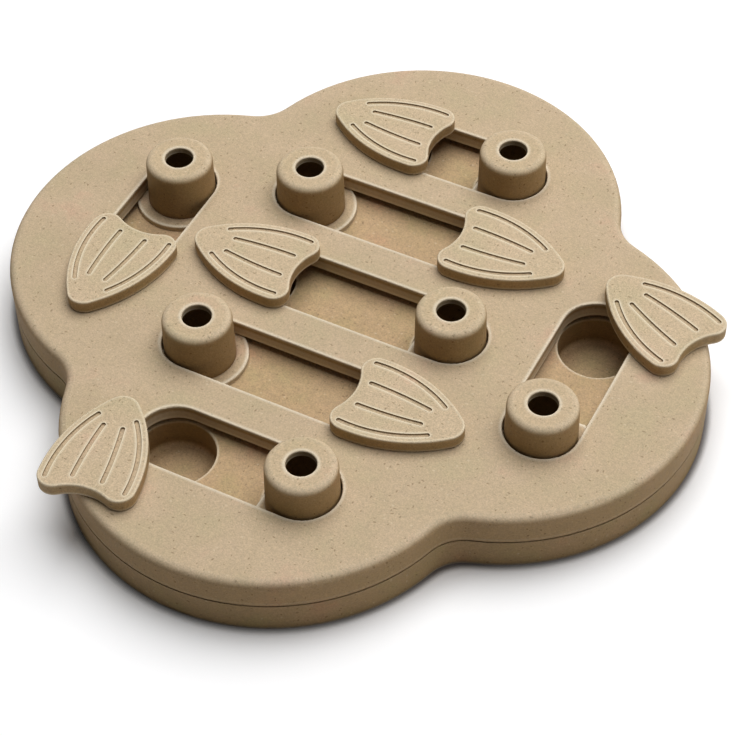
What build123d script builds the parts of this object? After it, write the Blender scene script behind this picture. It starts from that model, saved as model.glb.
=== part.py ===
from build123d import *
import math
import os

# Sliding puzzle board: a four-lobed case with seven slots. Each slot has a well at both ends, a
# knob that slides along it, and a fish-tail flipper that turns to cover the far well.
# All lengths are millimetres. The origin is on the floor under the middle of the board.

# ---- driving dimensions: case ----
lobe_offset = 82.5  # centre of each round lobe from the middle of the board
lobe_radius = 106.5
notch_radius = 22.0  # rounding in the four notches between the lobes
board_height = 34.5  # floor to the top of the cover plate
seam_height = 17.5  # floor to the joint line between cover and base
edge_round = 4.2  # rounding along the outside top edge of the cover
seam_groove_height = 0.7  # shadow line round the cover's lower edge
seam_groove_depth = 1.2
plate_thickness = 3.2
cover_wall = 3.0
base_wall = 2.5
ledge_thickness = 2.5
fit_gap = 0.3  # between the base's upright wall and the inside of the cover

# ---- driving dimensions: slots and wells ----
slot_width = 38.2
row_pitch = 60.0  # between the five rows that run along X
long_reach = 56.0  # slot middle to well centre, three middle rows
short_reach = 35.4  # slot middle to well centre, four lobe slots
side_gap = 10.7  # washer at the end of a long row to the rim of a side slot
rim_wall = 2.0
rim_gap = 1.0  # slider's flange to the lower edge of a slot's rim
slot_edge_round = 0.8
deck_drop = 12.5  # cover top down to the deck that the sliders run on
deck_thickness = 2.0
well_radius = 20.0
well_floor = 5.5  # floor to the inside bottom of a well
well_wall = 2.0
well_round = 3.0
well_edge_round = 0.6

# ---- driving dimensions: sliders ----
knob_rise = 18.5  # knob top above the cover
knob_play = 0.7  # slot's side to the foot of a knob
knob_draft = 0.6  # how much narrower a knob is at its top
knob_round = 3.5
knob_wall = 3.3
knob_top_thickness = 3.5
knob_hole_radius = 7.5
knob_hole_round = 0.8
flange_overlap = 5.7  # how far the flange reaches under the slot's side
flange_thickness = 2.8
flange_edge_round = 0.8
slide_gap = 0.2  # between the flange and the deck

# ---- driving dimensions: flippers ----
pin_gap = 1.1  # a slot's rim to the washer beside it
flipper_thickness = 6.8
flipper_lift = 0.7  # cover top to the underside of a flipper
flipper_half_width = 25.0
flipper_side_radius = 74.0  # the two long convex sides
flipper_belly = 44.4  # pin to the widest place
flipper_nose_radius = 9.0
flipper_tail = 51.6  # pin to the middle of the hollow end
flipper_tail_radius = 27.0
flipper_corner_radius = 8.2
flipper_edge_round = 0.8
groove_width = 2.4
groove_depth = 0.9
groove_inset = 4.4  # outer grooves: side edge to groove middle
groove_start = 7.2  # outer grooves begin this far from the pin
groove_end = 50.0
inner_groove_start = 13.2
inner_groove_end = 46.3
inner_groove_spread = (5.0, 7.6)  # half spacing of the inner grooves at their two ends
inner_groove_bulge = 0.6

# ---- driving dimensions: pins and fasteners ----
pin_radius = 4.0
pin_clearance = 0.05
hub_overlap = 1.0  # low collar round the pin that carries the flipper on the cover
hub_gap = 0.1
boss_wall = 3.5
pin_boss_depth = 5.5  # cover top down to the lower face of a pin boss
washer_overlap = 2.0
washer_thickness = 1.2
screw_shank_radius = 1.5
screw_play = 0.25  # shank to a plain hole it passes through
thread_clearance = 0.02
screw_head_radius = 3.2
screw_head_height = 2.2
flipper_screw_bite = 8.0
post_radius = 4.4
post_shoulder = 10.0  # floor to the lower face of the base's screw posts
case_screw_bite = 6.5
screw_tip_gap = 0.5
notch_screw_inset = 16.25  # from where two lobes cross, along X and along Y
lobe_screw_inset = 18.0  # from a lobe's tip

# ---- derived places ----
near = 0.01  # two lengths closer than this count as the same
slot_half = slot_width / 2
knob_base_radius = slot_half - knob_play
knob_top_radius = knob_base_radius - knob_draft
flange_radius = slot_half + flange_overlap
washer_radius = pin_radius + washer_overlap
pivot_reach = slot_half + rim_wall + pin_gap + washer_radius  # well centre to flipper pin
side_slot_x = long_reach + pivot_reach + washer_radius + side_gap + rim_wall + slot_half
screw_hole_radius = screw_shank_radius + screw_play
lobe_crossing = (lobe_offset + math.sqrt(2 * lobe_radius ** 2 - lobe_offset ** 2)) / 2
notch_screw = lobe_crossing - notch_screw_inset
lobe_screw = lobe_offset + lobe_radius - lobe_screw_inset

# ---- derived levels ----
deck_top = board_height - deck_drop
plate_under = board_height - plate_thickness
flipper_under = board_height + flipper_lift
flipper_top = flipper_under + flipper_thickness
pin_boss_bottom = board_height - pin_boss_depth
pin_end = pin_boss_bottom - hub_gap
washer_under = pin_end - washer_thickness
knob_top = board_height + knob_rise
flange_under = deck_top + slide_gap
flange_top = flange_under + flange_thickness
rim_bottom = flange_top + rim_gap

# Each slot: name, middle of the slot, direction from the knob's well to the flipper's well (degrees),
# reach, and the flipper's turn away from closed as it stands.
slots = [
    ("left", (-side_slot_x, 0), -90, short_reach, -2),
    ("upper", (0, row_pitch), 0, long_reach, 0),
    ("top", (0, 2 * row_pitch), 180, short_reach, 0),
    ("middle", (0, 0), 180, long_reach, 0),
    ("lower", (0, -row_pitch), 0, long_reach, 0),
    ("bottom", (0, -2 * row_pitch), 180, short_reach, -80),
    ("right", (side_slot_x, 0), 90, short_reach, 66),
]


def along(centre, heading, distance):
    angle = math.radians(heading)
    return (centre[0] + distance * math.cos(angle), centre[1] + distance * math.sin(angle))


def pin_place(slot):
    name, centre, heading, reach, turn = slot
    return along(centre, heading, reach + pivot_reach)


def knob_place(slot):
    name, centre, heading, reach, turn = slot
    return along(centre, heading, -reach)


def well_places(slot):
    name, centre, heading, reach, turn = slot
    return [along(centre, heading, reach), along(centre, heading, -reach)]


def case_screw_places():
    near_notches = [(x * notch_screw, y * notch_screw) for x in (-1, 1) for y in (-1, 1)]
    near_tips = [(lobe_screw, 0), (-lobe_screw, 0), (0, lobe_screw), (0, -lobe_screw)]
    between_rows = [(0, row_pitch / 2), (0, -row_pitch / 2)]
    return near_notches + near_tips + between_rows


def disc(radius, low, high, place=(0, 0)):
    return Pos(place[0], place[1], low) * extrude(Circle(radius), high - low)


def lobed_block(inset, low, high):
    # Four overlapping circles with rounded notches, moved in by the inset.
    outline = Sketch()
    for x, y in ((1, 0), (0, 1), (-1, 0), (0, -1)):
        outline += Pos(x * lobe_offset, y * lobe_offset) * Circle(lobe_radius - inset)
    notches = [v for v in outline.vertices() if abs(abs(v.X) - abs(v.Y)) < near]
    outline = fillet(notches, notch_radius + inset)
    return Pos(0, 0, low) * extrude(outline, high - low)


def slot_block(slot, width, low, high):
    name, centre, heading, reach, turn = slot
    bar = SlotCenterToCenter(2 * reach, width)
    return Pos(centre[0], centre[1], low) * Rot(0, 0, heading) * extrude(bar, high - low)


def level_edges(shape, level):
    return shape.edges().filter_by(lambda edge: edge.bounding_box().size.Z < near
                                   and abs(edge.center().Z - level) < near)


def slot_rim_edges(shape, slot, level):
    # Edges at this level that follow the sides and round ends of a slot.
    one_well, other_well = well_places(slot)
    middle_line = Line((*one_well, level), (*other_well, level))
    return [edge for edge in level_edges(shape, level)
            if abs(middle_line.distance_to(edge @ 0.5) - slot_half) < near]


def round_edges(shape, level, radius):
    return [edge for edge in level_edges(shape, level).filter_by(GeomType.CIRCLE)
            if abs(edge.radius - radius) < near]


def make_cover():
    cover = lobed_block(0, seam_height, board_height)
    cover = fillet(level_edges(cover, board_height), edge_round)
    groove_top = seam_height + seam_groove_height
    cover -= lobed_block(0, seam_height, groove_top) - lobed_block(seam_groove_depth, seam_height, groove_top)
    cover -= lobed_block(cover_wall, seam_height, plate_under)
    for slot in slots:
        cover += slot_block(slot, slot_width + 2 * rim_wall, rim_bottom, plate_under)
        cover += disc(pin_radius + boss_wall, pin_boss_bottom, plate_under, pin_place(slot))
    for slot in slots:
        cover -= slot_block(slot, slot_width, rim_bottom, board_height)
        cover -= disc(pin_radius + pin_clearance, pin_boss_bottom, board_height, pin_place(slot))
    for slot in slots:
        cover = fillet(slot_rim_edges(cover, slot, board_height), slot_edge_round)
    for place in case_screw_places():
        cover += disc(post_radius, deck_top, plate_under, place)
        cover -= disc(screw_shank_radius + thread_clearance, deck_top, deck_top + case_screw_bite, place)
    return cover


def make_base():
    inner_inset = cover_wall + fit_gap
    base = lobed_block(0, 0, seam_height)
    base -= lobed_block(cover_wall, 0, seam_height - ledge_thickness)
    base += lobed_block(inner_inset, seam_height - ledge_thickness, deck_top)
    base -= lobed_block(inner_inset + base_wall, 0, deck_top - deck_thickness)
    for slot in slots:
        for place in well_places(slot):
            base += disc(well_radius + well_wall, well_floor - well_wall, deck_top, place)
    for slot in slots:
        for place in well_places(slot):
            hollow = disc(well_radius, well_floor, deck_top, place)
            base -= fillet(level_edges(hollow, well_floor), well_round)
    base = fillet(round_edges(base, deck_top, well_radius), well_edge_round)
    for place in case_screw_places():
        base += disc(post_radius, post_shoulder, deck_top - deck_thickness, place)
        base -= disc(screw_hole_radius, post_shoulder, deck_top, place)
    return base


def make_slider():
    # Hollow knob turned about its own axis, standing on a flange that is cut flat on its -X side.
    inner_top = knob_top - knob_top_thickness
    profile = make_face(Polyline(
        (knob_base_radius, 0, flange_under),
        (knob_top_radius, 0, knob_top),
        (knob_hole_radius, 0, knob_top),
        (knob_hole_radius, 0, inner_top),
        (knob_top_radius - knob_wall, 0, inner_top),
        (knob_base_radius - knob_wall, 0, flange_under),
        close=True))
    for radius, size in ((knob_top_radius, knob_round), (knob_hole_radius, knob_hole_round)):
        corner = [v for v in profile.vertices()
                  if abs(v.X - radius) < near and abs(v.Z - knob_top) < near]
        profile = fillet(corner, size)
    knob = revolve(profile, Axis.Z)
    flange = disc(flange_radius, flange_under, flange_top)
    flange = fillet(level_edges(flange, flange_top), flange_edge_round)
    flange -= disc(knob_base_radius - knob_wall / 2, flange_under, flange_top)
    beyond_flat = Box(2 * flange_radius, 2 * flange_radius, 2 * flange_thickness)
    return knob + (flange - Pos(-knob_base_radius - flange_radius, 0, flange_top) * beyond_flat)


def flipper_outline():
    # Two long convex sides that meet in a round nose at the pin, and a hollow tail.
    drop = flipper_side_radius - flipper_half_width
    upper_side = Pos(flipper_belly, -drop) * Circle(flipper_side_radius)
    lower_side = Pos(flipper_belly, drop) * Circle(flipper_side_radius)
    hollow = Pos(flipper_tail + flipper_tail_radius, 0) * Circle(flipper_tail_radius)
    shape = (upper_side & lower_side) - hollow
    nose = [v for v in shape.vertices() if v.X < 0]
    shape = fillet(nose, flipper_nose_radius)
    corners = [v for v in shape.vertices() if v.X > flipper_tail]
    return fillet(corners, flipper_corner_radius)


def groove_paths(side):
    drop = flipper_side_radius - flipper_half_width
    radius = flipper_side_radius - groove_inset
    centre_y = -side * drop
    ends = []
    for x in (groove_start, (groove_start + groove_end) / 2, groove_end):
        rise = math.sqrt(radius ** 2 - (x - flipper_belly) ** 2)
        ends.append((x, centre_y + side * rise))
    inner_middle = ((inner_groove_start + inner_groove_end) / 2,
                    side * (sum(inner_groove_spread) / 2 + inner_groove_bulge))
    inner = ThreePointArc((inner_groove_start, side * inner_groove_spread[0]), inner_middle,
                          (inner_groove_end, side * inner_groove_spread[1]))
    return [ThreePointArc(*ends), inner]


def make_flipper():
    # Lies along +X from its pin, which goes down through the cover.
    flipper = Pos(0, 0, flipper_under) * extrude(flipper_outline(), flipper_thickness)
    flipper = fillet(level_edges(flipper, flipper_top), flipper_edge_round)
    for side in (1, -1):
        for path in groove_paths(side):
            groove = extrude(SlotArc(path, groove_width), groove_depth)
            flipper -= Pos(0, 0, flipper_top - groove_depth) * groove
    flipper += disc(pin_radius + hub_overlap, board_height + hub_gap, flipper_under)
    flipper += disc(pin_radius, pin_end, flipper_under)
    flipper -= disc(screw_shank_radius + thread_clearance, pin_end, pin_end + flipper_screw_bite)
    return flipper


def make_washer():
    return disc(washer_radius, washer_under, pin_end) - disc(screw_hole_radius, washer_under, pin_end)


def make_screw(seat, length):
    # Head below the seat, shank upwards, cross recess in the underside of the head.
    head = disc(screw_head_radius, seat - screw_head_height, seat)
    head = fillet(level_edges(head, seat - screw_head_height), screw_head_height / 3)
    shank = disc(screw_shank_radius, seat, seat + length)
    shank = chamfer(level_edges(shank, seat + length), screw_shank_radius / 2)
    screw = head + shank
    for turn in (0, 90):
        recess = Box(screw_head_radius, screw_head_radius / 4, screw_head_height / 2)
        screw -= Pos(0, 0, seat - screw_head_height) * Rot(0, 0, turn) * recess
    return screw


def save(shape, name):
    shape.label = name
    export_step(shape, f"parts/{name}.step")


os.makedirs("parts", exist_ok=True)
save(make_cover(), "top_cover")
save(make_base(), "base_shell")

slider = make_slider()
flipper = make_flipper()
washer = make_washer()
flipper_screw = make_screw(washer_under, washer_thickness + flipper_screw_bite - screw_tip_gap)
case_screw = make_screw(post_shoulder, deck_top - post_shoulder + case_screw_bite - screw_tip_gap)

for slot in slots:
    name, centre, heading, reach, turn = slot
    along_y = heading in (90, -90)
    place = Pos(*knob_place(slot)) * Rot(0, 0, -90 if along_y else 0)
    save(place * slider, f"slider_{name}")
    pin = Pos(*pin_place(slot))
    save(pin * Rot(0, 0, heading + 180 + turn) * flipper, f"flipper_{name}")
    save(pin * washer, f"flipper_washer_{name}")
    save(pin * flipper_screw, f"flipper_screw_{name}")

save(Compound(children=[Pos(*place) * case_screw for place in case_screw_places()]), "case_screws")
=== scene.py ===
import bpy
import math
from mathutils import Matrix, Vector

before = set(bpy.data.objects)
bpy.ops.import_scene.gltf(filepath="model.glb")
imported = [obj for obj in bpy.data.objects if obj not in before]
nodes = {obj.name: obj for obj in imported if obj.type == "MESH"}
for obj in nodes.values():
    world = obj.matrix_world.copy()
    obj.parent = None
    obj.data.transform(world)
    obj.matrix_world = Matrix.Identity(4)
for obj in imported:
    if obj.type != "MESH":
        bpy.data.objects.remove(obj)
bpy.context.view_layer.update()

mm = 0.001
slotNames = ("left", "upper", "top", "middle", "lower", "bottom", "right")
seamHeight = min(corner[2] for corner in nodes["top_cover"].bound_box)  # the cover's lower edge

cameraSetup = {
    "target": (0.0364, -0.0529, 0.0530),
    "azimuth": 27.74,
    "elevation": 48.70,
    "roll": -0.948,
    "distance": 1.0472,
    "lens": 105.06,
    "sensor": 36.0,
}


def towards(azimuth, elevation):
    # Unit vector from the object to something seen from it at these angles; azimuth 0 is on -Y.
    turn = math.radians(azimuth)
    lift = math.radians(elevation)
    level = math.cos(lift)
    return Vector((math.sin(turn) * level, -math.cos(turn) * level, math.sin(lift)))


def addCamera(setup):
    data = bpy.data.cameras.new("camera")
    data.lens = setup["lens"]
    data.sensor_width = setup["sensor"]
    back = towards(setup["azimuth"], setup["elevation"])
    camera = bpy.data.objects.new("camera", data)
    bpy.context.scene.collection.objects.link(camera)
    aim = (-back).to_track_quat("-Z", "Y").to_matrix().to_4x4()
    spin = Matrix.Rotation(math.radians(setup["roll"]), 4, "Z")
    place = Matrix.Translation(Vector(setup["target"]) + back * setup["distance"])
    camera.matrix_world = place @ aim @ spin
    bpy.context.scene.camera = camera


class Wire:
    # An output of a node. Sums and products on it add Math nodes.
    def __init__(self, graph, socket):
        self.graph = graph
        self.socket = socket

    def math(self, operation, first, second):
        return self.graph.add("ShaderNodeMath", {"operation": operation}, {0: first, 1: second})

    def __add__(self, other):
        return self.math("ADD", self, other)

    def __sub__(self, other):
        return self.math("SUBTRACT", self, other)

    def __rsub__(self, other):
        return self.math("SUBTRACT", other, self)

    def __mul__(self, other):
        return self.math("MULTIPLY", self, other)

    __radd__ = __add__
    __rmul__ = __mul__


class Graph:
    # The node tree of one material, or of the world.
    def __init__(self, tree):
        self.tree = tree
        tree.nodes.clear()

    def add(self, kind, settings=None, inputs=None, output=0):
        # A node with its settings set first, then the values or links of its sockets.
        node = self.tree.nodes.new(kind)
        for name, value in (settings or {}).items():
            if name == "stops":
                self.fillRamp(node.color_ramp, value)
            else:
                setattr(node, name, value)
        for name, value in (inputs or {}).items():
            socket = node.inputs[name]
            if isinstance(value, Wire):
                self.tree.links.new(value.socket, socket)
            else:
                socket.default_value = value
        return Wire(self, node.outputs[output]) if node.outputs else None

    def fillRamp(self, ramp, stops):
        while len(ramp.elements) < len(stops):
            ramp.elements.new(0.5)
        for element, (place, colour) in zip(ramp.elements, stops):
            element.position = place
            element.color = colour

    def noise(self, place, size, detail, roughness, output=0):
        # Noise with bumps about this many metres across, from 0 to 1.
        inputs = {"Vector": place, "Scale": 1 / size, "Detail": detail, "Roughness": roughness}
        return self.add("ShaderNodeTexNoise", {}, inputs, output)

    def vector(self, operation, first, second):
        return self.add("ShaderNodeVectorMath", {"operation": operation}, {0: first, 1: second})

    def openness(self, reach, samples=4, inside=False, ownFaces=True):
        # 1 on open faces, less where faces lie within reach, in front or inside the piece.
        # With ownFaces the faces of other pieces don't count.
        settings = {"inside": inside, "only_local": ownFaces, "samples": samples}
        return self.add("ShaderNodeAmbientOcclusion", settings, {"Distance": reach}, output="AO")

    def step(self, value, low, high):
        # Rises smoothly from 0 to 1 as value goes from low to high.
        settings = {"interpolation_type": "SMOOTHSTEP"}
        inputs = {"Value": value, "From Min": low, "From Max": high}
        return self.add("ShaderNodeMapRange", settings, inputs)

    def band(self, value, middle, inner, outer):
        # 1 within inner of the middle, 0 beyond outer.
        rises = self.step(value, middle - outer, middle - inner)
        return rises * (1 - self.step(value, middle + inner, middle + outer))

    def mix(self, factor, first, second, blend="MIX"):
        settings = {"data_type": "RGBA", "blend_type": blend}
        return self.add("ShaderNodeMix", settings, {0: factor, 6: first, 7: second}, output=2)

    def grey(self, level):
        # The same level in red, green and blue.
        return self.add("ShaderNodeCombineColor", {}, {0: level, 1: level, 2: level})


def rgb(red, green, blue):
    # Screen colour, 0 to 255, to the linear colour that the shader takes.
    def linear(level):
        level /= 255
        return level / 12.92 if level <= 0.04045 else ((level + 0.055) / 1.055) ** 2.4
    return (linear(red), linear(green), linear(blue), 1.0)


def newGraph(name):
    material = bpy.data.materials.new(name)
    material.use_nodes = True
    return material, Graph(material.node_tree)


shadePlaces = (0.32, 0.47, 0.60, 0.72)


def tans(*colours):
    # Ramp stops for the tan of the wood flour, from its greenish to its pinkish patches.
    return list(zip(shadePlaces, colours))


# Each noise is its size, detail and roughness.
# A pair of numbers is where a mask starts and where it ends.
compositeLook = {
    "shades": tans(rgb(196, 177, 143), rgb(199, 177, 145), rgb(203, 180, 149), rgb(206, 176, 147)),
    "patchNoise": (30 * mm, 4.0, 0.62),
    "mottleNoise": (7 * mm, 3.0, 0.6),
    "mottleDepth": 0.10,
    "grainNoise": (1.9 * mm, 2.0, 0.7),
    "grainWeight": 0.85,
    "speckNoise": (0.75 * mm, 1.0, 0.5),
    "speckWeight": 1.1,
    "grainDepth": 0.50,
    "fibreSize": 5.4 * mm,
    "fibreShare": 0.10,
    "fibreCore": 0.6,  # part of a fibre's width that has the full colour
    "fibreBlur": 0.02,
    "fibreBend": 1.6 * mm,
    "bendNoise": (9 * mm, 1.0, 0.5),
    "darkStretches": ((1.0, 2.3, 1.4), (2.1, 1.1, 1.6)),
    "darkFibre": rgb(120, 94, 62),
    "darkGain": 0.52,
    "paleStretch": (1.3, 1.7, 1.1),
    "paleFibre": rgb(232, 216, 184),
    "paleGain": 0.35,
    "wallShadeTint": rgb(210, 197, 173),  # painted shade: upright faces are darkened
    "wallRise": (0.10, 0.85),  # upward part of the normal
    # Painted shade in wide hollows and in tight corners, set by how closed in a face is.
    "cavityReach": 15 * mm,
    "cavityOpen": (0.15, 0.85),
    "cavityTint": rgb(190, 164, 132),
    "cavityGain": 0.8,
    "creviceReach": 2.2 * mm,
    "creviceOpen": (0.25, 0.80),
    "creviceTint": rgb(150, 124, 96),
    "creviceGain": 0.8,
    # Painted shade: a dark line in the seam just above the cover's lower edge.
    "seamBand": (0.4 * mm, 0.7 * mm),
    "seamLift": 0.35 * mm,  # from the cover's lower edge to the middle of the dark line
    "seamShadeTint": rgb(80, 58, 40),
    "seamShadeGain": 0.0,
    # Painted shade: a darker band at the foot of the base, next to the floor.
    "footRange": (0.3 * mm, 1.8 * mm),
    "footShadeTint": rgb(150, 124, 96),
    "footShadeGain": 0.0,
    # Painted highlight along convex edges.
    "edge": rgb(248, 236, 208),
    "edgeReach": 1.7 * mm,
    "edgeOpen": (0.55, 0.93),
    "edgeWall": 0.5,  # share of the painted edge highlight that upright faces get
    "edgeKeep": (1.5 * mm, 2.5 * mm),  # this near the seam no painted edge highlight is added
    "roughGrain": (0.3, 0.7),
    "roughRange": (0.58, 0.78),  # lowest and highest roughness
    "bumpStrength": 0.7,
    "bumpDepth": 0.07 * mm,
    "specular": 0.22,
}
# Stronger painted edge highlights for the cover and the sliders.
sharpEdge = {"edge": rgb(255, 246, 224), "edgeReach": 2.4 * mm, "edgeOpen": (0.62, 0.86)}
coverLook = {
    **compositeLook,
    **sharpEdge,
    # Painted shade on upright faces and in hollows, and a painted dark line at the seam, for the
    # cover.
    "wallShadeTint": rgb(203, 189, 164),
    "wallRise": (0.30, 0.98),
    "cavityTint": rgb(158, 128, 94),
    "seamShadeGain": 1.0,
}
sliderLook = {
    **compositeLook,
    **sharpEdge,
    "shades": tans(rgb(200, 180, 144), rgb(203, 180, 146), rgb(206, 183, 150), rgb(209, 179, 148)),
    # Painted shade on upright faces and in hollows, for the sliders.
    "wallShadeTint": rgb(199, 185, 158),
    "cavityTint": rgb(146, 114, 84),
    "cavityGain": 1.0,
}
flipperLook = {
    **compositeLook,
    "shades": tans(rgb(201, 183, 148), rgb(205, 183, 150), rgb(209, 186, 154), rgb(212, 182, 152)),
    "grainDepth": 0.68,
}
baseLook = {
    **compositeLook,
    "shades": tans(rgb(185, 163, 120), rgb(190, 162, 123), rgb(194, 164, 127), rgb(197, 159, 124)),
    "grainDepth": 0.56,
    # Painted shade on upright faces, in hollows and at the foot, for the base.
    "wallShadeTint": rgb(208, 203, 190),
    "cavityTint": rgb(170, 150, 124),
    "footShadeGain": 1.0,
}


def fibres(graph, place, stretch, look):
    # Short fibres of uneven size: 1 on a fibre, 0 between them.
    squeezed = graph.vector("MULTIPLY", place, stretch)
    inputs = {"Vector": squeezed, "Scale": 1 / look["fibreSize"]}
    distance = graph.add("ShaderNodeTexVoronoi", {}, inputs)
    chance = graph.add("ShaderNodeTexVoronoi", {}, inputs, output="Color")
    # Chance averages a half, so twice the share makes fibres of that share on average.
    size = graph.add("ShaderNodeSeparateColor", {}, {"Color": chance}) * look["fibreShare"] * 2
    return 1 - graph.step(distance, size * look["fibreCore"], size + look["fibreBlur"])


def woodFlour(graph, place, look):
    # Broad patches and a finer mottle, with grain at two sizes as shades of the same tan.
    patch = graph.noise(place, *look["patchNoise"])
    mottle = graph.noise(place, *look["mottleNoise"])
    grain = graph.noise(place, *look["grainNoise"])
    speck = graph.noise(place, *look["speckNoise"])
    shade = (grain - 0.5) * look["grainWeight"] + (speck - 0.5) * look["speckWeight"]
    level = shade * look["grainDepth"] + (mottle - 0.5) * look["mottleDepth"] + 1.0
    tan = graph.add("ShaderNodeValToRGB", {"stops": look["shades"]}, {"Fac": patch})
    return graph.mix(1.0, tan, graph.grey(level), "MULTIPLY"), grain, shade


def addFibres(graph, place, colour, look):
    # Sparse fibres that lie every way, most of them dark and a few pale.
    around = graph.noise(place, *look["bendNoise"], output="Color")
    drift = graph.vector("SUBTRACT", around, (0.5, 0.5, 0.5))
    bend = look["fibreBend"] * 2  # drift is at most a half either way
    bent = graph.vector("ADD", place, graph.vector("MULTIPLY", drift, (bend, bend, bend)))
    first, second = (fibres(graph, bent, stretch, look) for stretch in look["darkStretches"])
    dark = graph.step(first + second, 0.0, 1.0) * look["darkGain"]
    pale = fibres(graph, bent, look["paleStretch"], look) * look["paleGain"]
    return graph.mix(pale, graph.mix(dark, colour, look["darkFibre"]), look["paleFibre"])


def paintHollowShade(graph, colour, look):
    # Painted shade: wide hollows and tight corners are darkened by how closed in they are.
    for kind in ("cavity", "crevice"):
        room = graph.openness(look[kind + "Reach"])
        closed = (1 - graph.step(room, *look[kind + "Open"])) * look[kind + "Gain"]
        colour = graph.mix(closed, colour, look[kind + "Tint"], "MULTIPLY")
    return colour


def paintSeamAndFootShade(graph, height, colour, look):
    # Painted shade: a dark line in the seam between the cover and the base.
    if look["seamShadeGain"]:
        seam = graph.band(height, seamHeight + look["seamLift"], *look["seamBand"])
        colour = graph.mix(seam * look["seamShadeGain"], colour, look["seamShadeTint"], "MULTIPLY")
    # Painted shade: the foot of the base is darker, next to the floor.
    if look["footShadeGain"]:
        foot = 1 - graph.step(height, *look["footRange"])
        colour = graph.mix(foot * look["footShadeGain"], colour, look["footShadeTint"], "MULTIPLY")
    return colour


def paintEdgeHighlights(graph, height, wall, colour, look):
    # Painted highlight: edges are lightened, less on upright faces and not at all along the seam.
    solid = graph.openness(look["edgeReach"], inside=True)
    upright = 1 - wall * (1 - look["edgeWall"])
    kept = 1 - graph.band(height, seamHeight, *look["edgeKeep"])
    edgeHighlight = (1 - graph.step(solid, *look["edgeOpen"])) * upright * kept
    return graph.mix(edgeHighlight, colour, look["edge"])


def compositeMaterial(name, look):
    material, graph = newGraph(name)
    place = graph.add("ShaderNodeTexCoord", output="Object")
    normal = graph.add("ShaderNodeTexCoord", output="Normal")
    height = graph.add("ShaderNodeSeparateXYZ", {}, {"Vector": place}, output="Z")
    rise = graph.add("ShaderNodeSeparateXYZ", {}, {"Vector": normal}, output="Z")
    wall = 1 - graph.step(rise, *look["wallRise"])  # 1 on upright faces

    colour, grain, shade = woodFlour(graph, place, look)
    colour = addFibres(graph, place, colour, look)
    # Painted shade: upright faces are darkened.
    colour = graph.mix(wall, colour, look["wallShadeTint"], "MULTIPLY")
    colour = paintHollowShade(graph, colour, look)
    colour = paintSeamAndFootShade(graph, height, colour, look)
    colour = paintEdgeHighlights(graph, height, wall, colour, look)

    smooth, rough = look["roughRange"]
    surface = graph.add("ShaderNodeBsdfPrincipled", {}, {
        "Base Color": colour,
        "Roughness": graph.step(grain, *look["roughGrain"]) * (rough - smooth) + smooth,
        "Normal": graph.add("ShaderNodeBump", {}, {
            "Height": shade,
            "Strength": look["bumpStrength"],
            "Distance": look["bumpDepth"],
        }),
        "Specular IOR Level": look["specular"],
    })
    graph.add("ShaderNodeOutputMaterial", {}, {"Surface": surface})
    return material


steelLook = {
    "bright": rgb(196, 198, 202),
    "dull": rgb(150, 152, 156),
    "patchNoise": (1.6 * mm, 4.0, 0.7),
    "patchRange": (0.35, 0.65),
    "scratchNoise": (0.12 * mm, 3.0, 0.6),
    "scratchStretch": (1.0, 1.0, 0.1),
    "roughRange": (0.25, 0.55),
    "bumpStrength": 0.5,
    "bumpDepth": 0.01 * mm,
}


def steelMaterial(look):
    material, graph = newGraph("zincSteel")
    place = graph.add("ShaderNodeTexCoord", output="Object")
    patch = graph.noise(place, *look["patchNoise"])
    drawn = graph.vector("MULTIPLY", place, look["scratchStretch"])
    scratch = graph.noise(drawn, *look["scratchNoise"])
    dulled = graph.step(patch, *look["patchRange"])
    smooth, rough = look["roughRange"]
    surface = graph.add("ShaderNodeBsdfPrincipled", {}, {
        "Base Color": graph.mix(dulled, look["bright"], look["dull"]),
        "Roughness": patch * (rough - smooth) + smooth,
        "Normal": graph.add("ShaderNodeBump", {}, {
            "Height": scratch,
            "Strength": look["bumpStrength"],
            "Distance": look["bumpDepth"],
        }),
        "Metallic": 1.0,
    })
    graph.add("ShaderNodeOutputMaterial", {}, {"Surface": surface})
    return material


floorLook = {
    "size": 8.0,
    "drop": 0.05 * mm,
    "colour": rgb(247, 247, 248),
    "lift": 0.20,  # camera-only glow that whitens the floor, kept off where the object stands close, which leaves a painted shadow round it
    "liftReach": 120 * mm,
    "liftOpen": (0.42, 0.80),
    # Painted shadow on the floor close to the object.
    "contactShadowTint": rgb(98, 90, 86),
    "contactShadowReach": 8 * mm,
    "contactShadowOpen": (0.55, 0.85),
    "samples": 16,
    "roughness": 0.9,
    "specular": 0.1,
}
mainLamp = {"azimuth": 178.0, "elevation": 68.0, "distance": 3.0, "size": 3.0, "power": 110.0}
fillLamp = {"azimuth": 100.0, "elevation": 14.0, "distance": 3.0, "size": 1.6, "power": 15.0}
skyLook = {
    "colour": (1.0, 1.0, 1.0, 1.0),
    "onObject": 0.05,  # strength on the object; the camera sees 1, which is white
}


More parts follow.
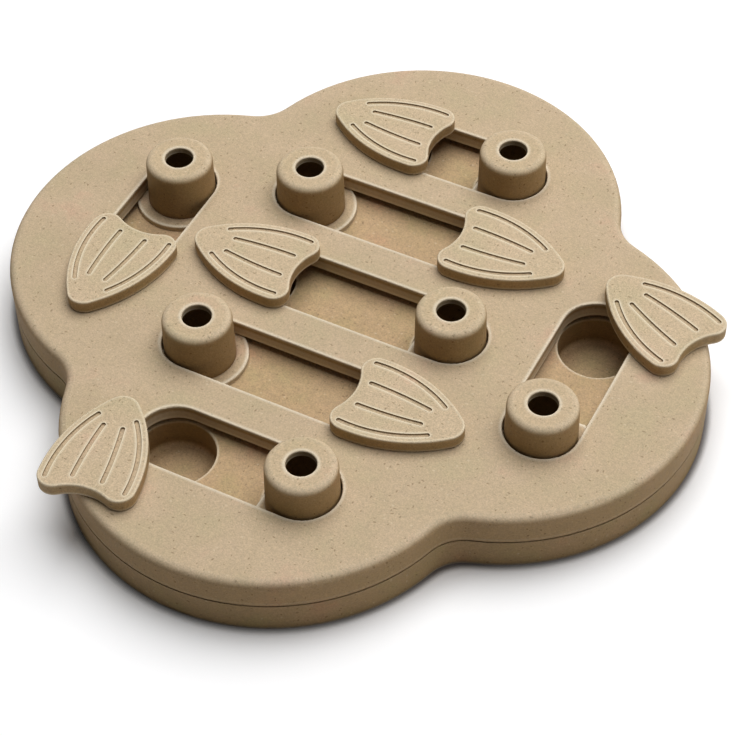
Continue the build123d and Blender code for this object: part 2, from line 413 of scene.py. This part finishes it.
def addFloor(look):
    half = look["size"] / 2
    corners = [(-half, -half, 0), (half, -half, 0), (half, half, 0), (-half, half, 0)]
    mesh = bpy.data.meshes.new("floor")
    mesh.from_pydata(corners, [], [(0, 1, 2, 3)])
    floor = bpy.data.objects.new("floor", mesh)
    floor.location = (0, 0, -look["drop"])
    bpy.context.scene.collection.objects.link(floor)
    material, graph = newGraph("paper")
    seen = graph.add("ShaderNodeLightPath", output="Is Camera Ray")
    wide = graph.openness(look["liftReach"], look["samples"], ownFaces=False)
    # Painted light for the camera only: the floor is whitened away from the object, leaving a
    # painted shadow round it.
    lift = seen * graph.step(wide, *look["liftOpen"]) * look["lift"]
    # Painted shadow: the floor's colour darkens close to the object.
    close = graph.openness(look["contactShadowReach"], look["samples"], ownFaces=False)
    contact = 1 - graph.step(close, *look["contactShadowOpen"])
    surface = graph.add("ShaderNodeBsdfPrincipled", {}, {
        "Base Color": graph.mix(contact, look["colour"], look["contactShadowTint"]),
        "Roughness": look["roughness"],
        "Specular IOR Level": look["specular"],
        "Emission Color": graph.grey(lift),
        "Emission Strength": 1.0,
    })
    graph.add("ShaderNodeOutputMaterial", {}, {"Surface": surface})
    mesh.materials.append(material)


def addLamp(name, look):
    data = bpy.data.lights.new(name, "AREA")
    data.size = look["size"]
    data.energy = look["power"]
    lamp = bpy.data.objects.new(name, data)
    out = towards(look["azimuth"], look["elevation"])
    lamp.location = out * look["distance"]
    lamp.rotation_mode = "QUATERNION"
    lamp.rotation_quaternion = out.to_track_quat("Z", "Y")
    lamp.visible_camera = False
    bpy.context.scene.collection.objects.link(lamp)


def addSky(look):
    world = bpy.data.worlds.new("sky")
    world.use_nodes = True
    bpy.context.scene.world = world
    graph = Graph(world.node_tree)
    seen = graph.add("ShaderNodeLightPath", output="Is Camera Ray")
    strength = seen * (1 - look["onObject"]) + look["onObject"]
    sky = graph.add("ShaderNodeBackground", {}, {"Color": look["colour"], "Strength": strength})
    graph.add("ShaderNodeOutputWorld", {}, {"Surface": sky})


def dress(names, material):
    for name in names:
        piece = nodes[name]
        piece.data.materials.clear()
        piece.data.materials.append(material)


bpy.context.scene.view_settings.view_transform = "Standard"
addCamera(cameraSetup)
addFloor(floorLook)
addLamp("mainLamp", mainLamp)
addLamp("fillLamp", fillLamp)
addSky(skyLook)
print("stage: camera, floor and lamps are up")

sliders = [f"slider_{name}" for name in slotNames]
flippers = [f"flipper_{name}" for name in slotNames]
fasteners = [f"flipper_{kind}_{name}" for kind in ("washer", "screw") for name in slotNames]
dress(["top_cover"], compositeMaterial("coverComposite", coverLook))
dress(["base_shell"], compositeMaterial("baseComposite", baseLook))
dress(sliders, compositeMaterial("sliderComposite", sliderLook))
dress(flippers, compositeMaterial("flipperComposite", flipperLook))
dress(fasteners + ["case_screws"], steelMaterial(steelLook))
print("stage: every piece has its finish")
